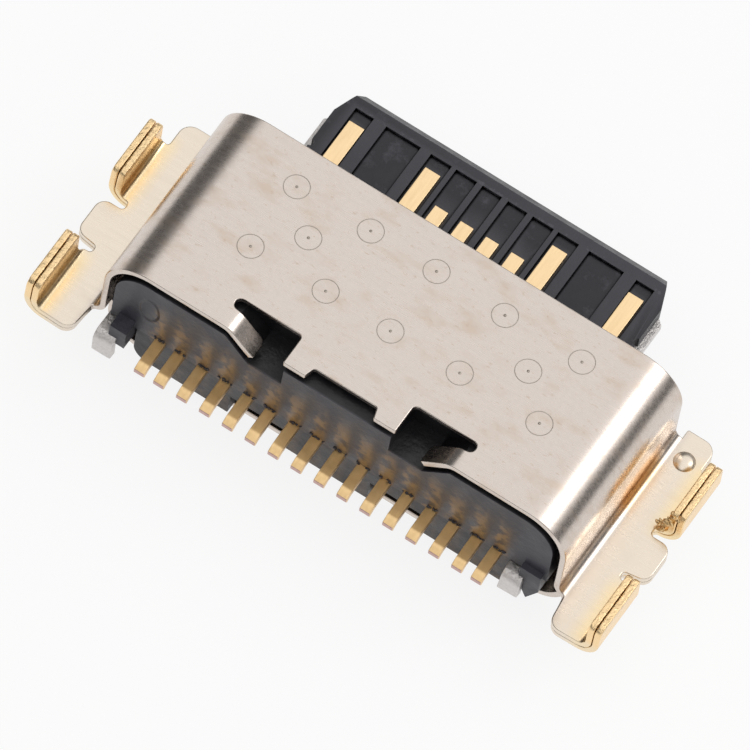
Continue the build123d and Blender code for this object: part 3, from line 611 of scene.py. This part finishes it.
def folded_cover(upper):
    """The upper or the lower cover, drawn as an unrolled blank and then bent."""
    if upper:
        panel, wing, shoulder, rear, beside = PANEL_Z, WING_MID, UPPER_SHOULDER_R, COVER_REAR, 0
    else:
        panel, wing, shoulder, rear = -PANEL_Z, WING_MID - SHEET, LOWER_SHOULDER_R, LOWER_REAR
        beside = SHEET + TAB_AIR
    strip_x = TAB_IN_X + SHEET / 2 + beside
    half = [(0, panel), (WALL_X, panel), (WALL_X, wing)]
    bends = [shoulder - SHEET / 2, ROOT_R + SHEET / 2]
    body = bend_line(half + [(LOBE_X + 1, wing)], bends)
    tab = bend_line(half + [(strip_x, wing), (strip_x, TAB_TOP)],
                    bends + [FOLD_R + SHEET / 2 + beside])
    end = tab[-1][1]

    def flat(x):
        """Where the blank carries what lies at x on the bent wing."""
        return body[-1][0] + x - body[-1][2].x

    # x, y and corner radius down one side: front ear, front tab, lobe, rear tab, rear corner
    side = [
        (flat(WING_FRONT_X), 0.0, 0), (flat(WING_FRONT_X), WING_FRONT, 0.04),
        (flat(EAR_X), WING_FRONT, 0.24), (flat(EAR_X), FRONT_TAB[1], 0.05),
        (end, FRONT_TAB[1] - 0.03, 0.09), (end, FRONT_TAB[0] + 0.07, 0.15),
        (flat(NOTCH_X), FRONT_TAB[0], 0.07), (flat(NOTCH_X), LOBE[1], 0.07),
        (flat(LOBE_X), LOBE[1], 0.20), (flat(LOBE_X), LOBE[0], 0.20),
        (flat(NOTCH_X), LOBE[0] - 0.06, 0.07), (flat(NOTCH_X), REAR_TAB[1] + 0.10, 0.06),
        (flat(STEP_X[0]), REAR_TAB[1] + 0.08, 0.06), (flat(STEP_X[1]), REAR_TAB[1], 0.05),
        (end, REAR_TAB[1] - 0.04, 0.09), (end, REAR_TAB[0] + 0.04, 0.18),
        (flat(WING_REAR_X[0]), WING_REAR, 0.22), (flat(WING_REAR_X[1]), rear, 0.05),
    ]
    # and, on the upper one, in along the rear edge: latch, window, recess
    if upper:
        side += [
            (LATCH_SIDE_X[0], rear, 0), (LATCH_TIP_X, rear, 0.05),
            (LATCH_TIP_X, LATCH_Y, 0.14), (LATCH_SIDE_X[1], LATCH_Y, 0),
            (WINDOW_X[1], LATCH_Y, 0.10), (WINDOW_X[1], WINDOW_Y, 0.10),
            (WINDOW_X[0], WINDOW_Y, 0.09), (WINDOW_X[0], rear, 0.03),
            (RECESS_X[1], rear, 0.03), (RECESS_X[0], RECESS_Y, 0.05),
        ]
    bm = blank(rounded(side + [(-x, y, r) for x, y, r in reversed(side)]))
    places = set(LATCH_CUTS if upper else ())
    for low, high, _, _, turn, _ in body + tab:
        if turn:
            count = max(6, int(abs(turn) / BEND_STEP))
            places |= {low + (high - low) * k / count for k in range(count + 1)}
    for x in sorted({round(place, 4) for place in places}):
        for cut in (x, -x):
            bmesh.ops.bisect_plane(bm, geom=bm.verts[:] + bm.edges[:] + bm.faces[:],
                                   plane_co=(cut, 0, 0), plane_no=(1, 0, 0), dist=1e-5)
    latch = bend_line([(LATCH_FROM_X, PANEL_Z), *LATCH_LINE], [LATCH_R])
    for v in bm.verts:
        s, y, w = abs(v.co.x), v.co.y, v.co.z
        if upper and LATCH_REACH_X[0] < s < LATCH_REACH_X[1] and y < LATCH_Y + 0.03:
            point, normal = on_bend(latch, LATCH_FROM_X - s)
            w = -w
        elif FRONT_TAB[0] - 0.02 < y < FRONT_TAB[1] + 0.01 or y < REAR_TAB[1] + 0.09:
            point, normal = on_bend(tab, s)
        else:
            point, normal = on_bend(body, s)
        bent = point + normal * w
        v.co = (math.copysign(bent.x, v.co.x), y, bent.y)
    bmesh.ops.recalc_face_normals(bm, faces=bm.faces)
    if upper:
        boss(bm)
    return bm


WALL_FADE_X = (4.45, 4.50)    # panel to wall
WING_FADE_X = (4.56, 4.80)    # wall to wing
TAB_FADE_X = (4.95, 5.34)     # wing to the gold at the tabs
FRONT_FADE, REAR_FADE = (0.98, 0.58), (0.92, 0.45)    # its ends, from the middle of each tab
STRIP_X, STRIP_Z = 5.2, (-0.30, -0.12)                # where a tab stands up from the wing
CREST_Z = (0.17, 0.27)        # the tabs' hammered tops
PAINTED_REFLECTION_AT, PAINTED_REFLECTION_Y, PAINTED_REFLECTION_Z = (-1.15, -0.05), (0.70, 0.45), (0.52, 0.15)    # painted reflection of the gold tab, orange, low on the wall

# Nickel over stamped steel, with the gold flash of the tabs running out over the wings. Satin,
# rolled lines 0.06 mm apart across the panels, faint brown flux stains 0.3 to 0.6 mm long with
# specks of 0.1 mm, and a smoother skin on the walls. The tabs' tops are hammered at 0.1 mm.
# An orange patch low on the wall is a painted reflection of the gold front tab.
cover_nickel, tree, shader, mm = material("gold_flashed_nickel")
parts = put(tree, "ShaderNodeSeparateXYZ", Vector=mm)
x_size = put(tree, "ShaderNodeMath", {"operation": "ABSOLUTE"}, i0=parts.outputs["X"])
on_wall = put(tree, "ShaderNodeMapRange", SMOOTH, Value=x_size, From_Min=WALL_FADE_X[0],
              From_Max=WALL_FADE_X[1])
on_wing = put(tree, "ShaderNodeMapRange", SMOOTH, Value=x_size, From_Min=WING_FADE_X[0],
              From_Max=WING_FADE_X[1])
near_tab = put(tree, "ShaderNodeMapRange", SMOOTH, Value=x_size, From_Min=TAB_FADE_X[0],
               From_Max=TAB_FADE_X[1])
front, rear = (put(tree, "ShaderNodeMapRange", SMOOTH, From_Min=fade[0], From_Max=fade[1],
                   Value=distance(tree, parts.outputs["Y"], sum(span) / 2))
               for span, fade in ((FRONT_TAB, FRONT_FADE), (REAR_TAB, REAR_FADE)))
tabs = put(tree, "ShaderNodeMath", {"operation": "MAXIMUM"}, i0=front, i1=rear)
halo = put(tree, "ShaderNodeMath", TIMES, i0=tabs, i1=near_tab)
up_tab = put(tree, "ShaderNodeMapRange", SMOOTH, Value=parts.outputs["Z"], From_Min=STRIP_Z[0],
             From_Max=STRIP_Z[1])
beyond = put(tree, "ShaderNodeMath", {"operation": "GREATER_THAN"}, i0=x_size, i1=STRIP_X)
strip = put(tree, "ShaderNodeMath", TIMES, i0=up_tab, i1=beyond)
stretch = put(tree, "ShaderNodeMapping", Vector=mm, Scale=(1.4, 16, 16))
rolled = put(tree, "ShaderNodeTexNoise", Vector=stretch, Scale=1.0, Detail=4.0)
smear = put(tree, "ShaderNodeMapping", Vector=mm, Scale=(1.7, 3.2, 1.7), Rotation=(0, 0, 0.5))
cloud = put(tree, "ShaderNodeTexNoise", Vector=smear, Scale=1.0, Detail=6.0, Roughness=0.58)
stained = put(tree, "ShaderNodeMapRange", SMOOTH, Value=cloud, From_Min=0.47, From_Max=0.74,
              To_Max=0.55)
fine = put(tree, "ShaderNodeTexNoise", Vector=mm, Scale=11.0, Detail=4.0, Roughness=0.6)
fleck = put(tree, "ShaderNodeTexNoise", Vector=smear, Scale=4.2, Detail=5.0, Roughness=0.6)
flecked = put(tree, "ShaderNodeMapRange", SMOOTH, Value=fleck, From_Min=0.57, From_Max=0.74,
              To_Max=0.42)
# Painted reflection: the gold of the front tab, orange, low on the wall beside it.
painted_reflection_y = put(tree, "ShaderNodeMapRange", SMOOTH, From_Min=PAINTED_REFLECTION_Y[0], From_Max=PAINTED_REFLECTION_Y[1],
             Value=distance(tree, parts.outputs["Y"], PAINTED_REFLECTION_AT[0]), To_Max=0.75)
painted_reflection_z = put(tree, "ShaderNodeMapRange", SMOOTH, From_Min=PAINTED_REFLECTION_Z[0], From_Max=PAINTED_REFLECTION_Z[1],
             Value=distance(tree, parts.outputs["Z"], PAINTED_REFLECTION_AT[1]))
painted_reflection = put(tree, "ShaderNodeMath", TIMES, i0=painted_reflection_z, i1=on_wall)
painted_reflection = put(tree, "ShaderNodeMath", TIMES, i0=painted_reflection, i1=painted_reflection_y)
nickel = put(tree, "ShaderNodeMix", COLOURS, Factor=fine, A="#d3c8c0", B="#dcd1c8")
for factor, colour in ((stained, "#cdb9a6"), (flecked, "#b89f87"), (painted_reflection, "#e8b877"),
                       (on_wing, "#ebdecd"), (halo, "#fbe2b4"), (strip, "#fcdcaa")):
    nickel = put(tree, "ShaderNodeMix", COLOURS, Factor=factor, A=nickel, B=colour)
rough = put(tree, "ShaderNodeMapRange", Value=rolled, From_Min=0.3, From_Max=0.7, To_Min=0.23,
            To_Max=0.31)
rough = put(tree, "ShaderNodeMath", {"operation": "MULTIPLY_ADD"}, i0=stained, i1=0.10, i2=rough)
crest = put(tree, "ShaderNodeMapRange", Value=parts.outputs["Z"], From_Min=CREST_Z[0],
            From_Max=CREST_Z[1], To_Min=0.2)
crest = put(tree, "ShaderNodeMath", TIMES, i0=crest, i1=strip)
hammer = put(tree, "ShaderNodeTexNoise", Vector=mm, Scale=9.0, Detail=4.0, Roughness=0.6)
hammer = put(tree, "ShaderNodeMath", TIMES, i0=hammer, i1=crest)
lines = put(tree, "ShaderNodeBump", Height=rolled, Strength=0.06, Distance=0.004 * MM)
grained = put(tree, "ShaderNodeMapRange", Value=x_size, From_Min=4.1, From_Max=4.45, To_Min=0.14,
              To_Max=0.04)
pits = put(tree, "ShaderNodeBump", Height=fine, Strength=grained, Distance=0.006 * MM,
           Normal=lines)
beaten = put(tree, "ShaderNodeBump", Height=hammer, Strength=0.7, Distance=0.05 * MM, Normal=pits)
feed(shader, Base_Color=nickel, Metallic=1.0, Roughness=rough, Normal=beaten)

for node in ("upper_cover", "lower_cover"):
    sheet = finished(node + "_sheet", folded_cover(node == "upper_cover"), cover_nickel)
    sheet.data.set_sharp_from_angle(angle=SHARP_FROM)
    shade_by_area(sheet.data)
    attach(sheet, "root")
    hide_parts(node)

# Crumpled burr
# Where the shears tore the right front tab off the strip its rear end is curled and crumpled
# towards the wing: small bright folds of gilt sheet, about 0.06 mm each.

BURR_FOLDS, BURR_FOLD = 15, 0.062
BURR_START, BURR_END = (5.22, -1.69, -0.31), (5.44, -1.55, 0.16)

burr, given = group("tab_burr", Folds="Int", Fold_size="Float", Start="Vector", End="Vector")
tear = put(burr, "GeometryNodeMeshLine", {"mode": "END_POINTS"}, Count=given.outputs["Folds"],
           Start_Location=given.outputs["Start"], Offset=given.outputs["End"])
shake = put(burr, "FunctionNodeRandomValue", VECTORS, Seed=11,
            Min=(-0.045 * MM, -0.05 * MM, -0.035 * MM), Max=(0.045 * MM, 0.05 * MM, 0.045 * MM))
tear = put(burr, "GeometryNodeSetPosition", Geometry=tear, Offset=shake)
fold = put(burr, "GeometryNodeMeshIcoSphere", Radius=given.outputs["Fold size"], Subdivisions=3)
ripple = put(burr, "ShaderNodeTexNoise", Scale=22 / MM, Detail=2.0)
ripple = put(burr, "ShaderNodeVectorMath", {"operation": "SCALE"}, i0=ripple.outputs["Color"],
             Scale=0.04 * MM)
fold = put(burr, "GeometryNodeSetPosition", Geometry=fold, Offset=ripple)
shape = put(burr, "FunctionNodeRandomValue", VECTORS, Seed=12, Min=(0.5, 0.7, 0.35),
            Max=(1.1, 1.6, 0.7))
turn = put(burr, "FunctionNodeRandomValue", VECTORS, Seed=13, Max=(1.2, 1.2, FULL_TURN))
folds = put(burr, "GeometryNodeInstanceOnPoints", Points=tear, Instance=fold, Rotation=turn,
            Scale=shape)
close(burr, given, folds)

# Gold flash on crumpled steel: bright, creased at 0.03 mm.
gilt_crumple, tree, shader, mm = material("crumpled_gilt_edge")
crease = put(tree, "ShaderNodeTexNoise", Vector=mm, Scale=30.0, Detail=3.0)
tone = put(tree, "ShaderNodeMix", COLOURS, Factor=crease, A="#b98d4c", B="#ffe6b8")
creased = put(tree, "ShaderNodeBump", Height=crease, Strength=0.6, Distance=0.02 * MM)
feed(shader, Base_Color=tone, Metallic=1.0, Roughness=0.25, Normal=creased)

grown("front_tab_burr", burr, "nickel_cover", Folds=BURR_FOLDS, Fold_size=BURR_FOLD * MM,
      Start=[v * MM for v in BURR_START], End=[v * MM for v in BURR_END], Material=gilt_crumple)

# Weld marks
# Twelve laser spots that join the cover to the tube: a flat round mark 0.45 mm across with a
# thin dark ring round it and a pip in the middle.

SPOT_R, THREAD_R, PIP_R = 0.225, 0.007, 0.026
SPOTS = ((-2.68, -0.74), (-1.24, -0.72), (0.05, -0.72), (1.41, -0.75), (2.91, -0.74),
         (-2.01, -1.43), (2.28, -1.40), (-2.70, -2.12), (-1.24, -2.10), (0.03, -2.10),
         (1.38, -2.09), (2.95, -2.11))

marks, given = group("weld_marks", Radius="Float", Height="Float")
ring = put(marks, "GeometryNodeCurvePrimitiveCircle", Resolution=40,
           Radius=given.outputs["Radius"])
thread = put(marks, "GeometryNodeCurvePrimitiveCircle", Resolution=8, Radius=THREAD_R * MM)
bead = put(marks, "GeometryNodeCurveToMesh", Curve=ring, Profile_Curve=thread)
bead = put(marks, "GeometryNodeTransform", Geometry=bead, Scale=(1, 1, 0.45))
pip = put(marks, "GeometryNodeMeshIcoSphere", Radius=PIP_R * MM, Subdivisions=3)
pip = put(marks, "GeometryNodeTransform", Geometry=pip, Scale=(1, 1, 0.5))
mark = put(marks, "GeometryNodeJoinGeometry")
for piece in (bead, pip):
    feed(mark, Geometry=piece)
spread = put(marks, "GeometryNodeJoinGeometry")
for x, y in SPOTS:
    feed(spread, Geometry=put(marks, "GeometryNodePoints", Count=1, Position=(x * MM, y * MM, 0)))
lifted = put(marks, "ShaderNodeCombineXYZ", Z=given.outputs["Height"])
spread = put(marks, "GeometryNodeSetPosition", Geometry=spread, Offset=lifted)
close(marks, given, put(marks, "GeometryNodeInstanceOnPoints", Points=spread, Instance=mark))

# Weld bead: oxidised nickel steel, dull brownish grey, broken along its ring at 0.12 mm.
weld, tree, shader, mm = material("oxidised_weld_ring")
broken = put(tree, "ShaderNodeTexNoise", Vector=mm, Scale=8.0, Detail=4.0)
tone = put(tree, "ShaderNodeMix", COLOURS, Factor=broken, A="#8d8479", B="#cfc5ba")
uneven = put(tree, "ShaderNodeBump", Height=broken, Strength=0.5, Distance=0.01 * MM)
feed(shader, Base_Color=tone, Metallic=1.0, Roughness=0.5, Normal=uneven)

grown("weld_rings", marks, "nickel_cover", Radius=SPOT_R * MM, Height=(PANEL_Z + SHEET / 2) * MM,
      Material=weld)

# Table, light and camera
# A white table under the port, a soft sky that is brighter from above and a large soft light, and
# the photograph's view. Both the table and the sky read as plain white behind the port.

TABLE_Z, TABLE_HALF = -1.55, 120
TABLE_WHITE = 0.86            # share of plain white that a camera or a mirror sees
SOFTBOX_AT, SOFTBOX_AIM, SOFTBOX_SIZE = Vector((45, 36, 56)), Vector((0, -0.9, 0)), (26, 34)
SOFTBOX_WATTS = 0.008
AZIMUTH, ELEVATION, ROLL = (math.radians(a) for a in (22.03, 61.49, 12.06))
DISTANCE = 400.0
PX_PER_MM = 60.546            # at the aim
PHOTO_PX = 750
AIM = Vector((0, 1.43, 0.35))
AIM_PX = (496.40, 210.85)     # where the photo shows the aim
SENSOR = 36.0

# White paper, matt. Seen by the camera or in a mirror it is mostly plain white, and keeps the
# port's shadow.
paper, tree, shader, mm = material("white_table")
feed(shader, Base_Color="#f4f4f4", Roughness=0.9, Specular_IOR_Level=0.0)
seen = put(tree, "ShaderNodeLightPath")
either = put(tree, "ShaderNodeMath", {"operation": "MAXIMUM"}, i0=seen.outputs["Is Camera Ray"],
             i1=seen.outputs["Is Glossy Ray"])
either = put(tree, "ShaderNodeMath", {"operation": "MAXIMUM"}, i0=either,
             i1=seen.outputs["Is Transmission Ray"])
white = put(tree, "ShaderNodeEmission", Color="#ffffff", Strength=1.0)
share = put(tree, "ShaderNodeMath", TIMES, i0=either, i1=TABLE_WHITE)
mix = put(tree, "ShaderNodeMixShader", Fac=share, i1=shader, i2=white)
feed(tree.nodes["Material Output"], Surface=mix)
bm = bmesh.new()
bmesh.ops.create_grid(bm, x_segments=1, y_segments=1, size=TABLE_HALF)
bmesh.ops.translate(bm, verts=bm.verts, vec=(0, 0, TABLE_Z))
floor = finished("table", bm, paper)

world = bpy.data.worlds.new("studio")
bpy.context.scene.world = world
world.use_nodes = True
tree = world.node_tree
tree.nodes.clear()
towards = put(tree, "ShaderNodeTexCoord").outputs["Generated"]
towards = put(tree, "ShaderNodeSeparateXYZ", Vector=towards)
leftward = put(tree, "ShaderNodeMapRange", SMOOTH, Value=towards.outputs["X"], From_Min=-0.05,
               From_Max=-0.55)
dark_to = put(tree, "ShaderNodeMapRange", Value=leftward, To_Min=0.28, To_Max=0.62)
light_from = put(tree, "ShaderNodeMapRange", Value=leftward, To_Min=0.55, To_Max=0.84)
brightness = put(tree, "ShaderNodeMapRange", SMOOTH, Value=towards.outputs["Z"],
                 From_Min=dark_to, From_Max=light_from, To_Min=0.12, To_Max=1.04)
sky = put(tree, "ShaderNodeBackground", Color="#ffffff", Strength=brightness)
put(tree, "ShaderNodeOutputWorld", Surface=sky)

light = bpy.data.lights.new("softbox", "AREA")
light.shape = "RECTANGLE"
light.size, light.size_y = (side * MM for side in SOFTBOX_SIZE)
light.energy = SOFTBOX_WATTS
softbox = shown("softbox", light)
softbox.location = SOFTBOX_AT * MM
softbox.rotation_euler = (SOFTBOX_AIM - SOFTBOX_AT).to_track_quat("-Z", "Y").to_euler()

back = Vector((math.sin(AZIMUTH) * math.cos(ELEVATION), -math.cos(AZIMUTH) * math.cos(ELEVATION),
               math.sin(ELEVATION)))
level = Vector((math.cos(AZIMUTH), math.sin(AZIMUTH), 0))
rise = back.cross(level)
right = level * math.cos(ROLL) + rise * math.sin(ROLL)
up = rise * math.cos(ROLL) - level * math.sin(ROLL)
right_px, down_px = (place - PHOTO_PX / 2 for place in AIM_PX)
lens = bpy.data.cameras.new("camera")
lens.sensor_width = SENSOR
lens.lens = PX_PER_MM * DISTANCE / PHOTO_PX * SENSOR
lens.clip_start, lens.clip_end = 0.01, 5
camera = shown("camera", lens)
place = AIM + back * DISTANCE - (right * right_px - up * down_px) / PX_PER_MM
camera.matrix_world = (Matrix.Translation(place * MM)
                       @ Matrix((right, up, back)).transposed().to_4x4())
bpy.context.scene.camera = camera
bpy.context.scene.view_settings.view_transform = "Standard"
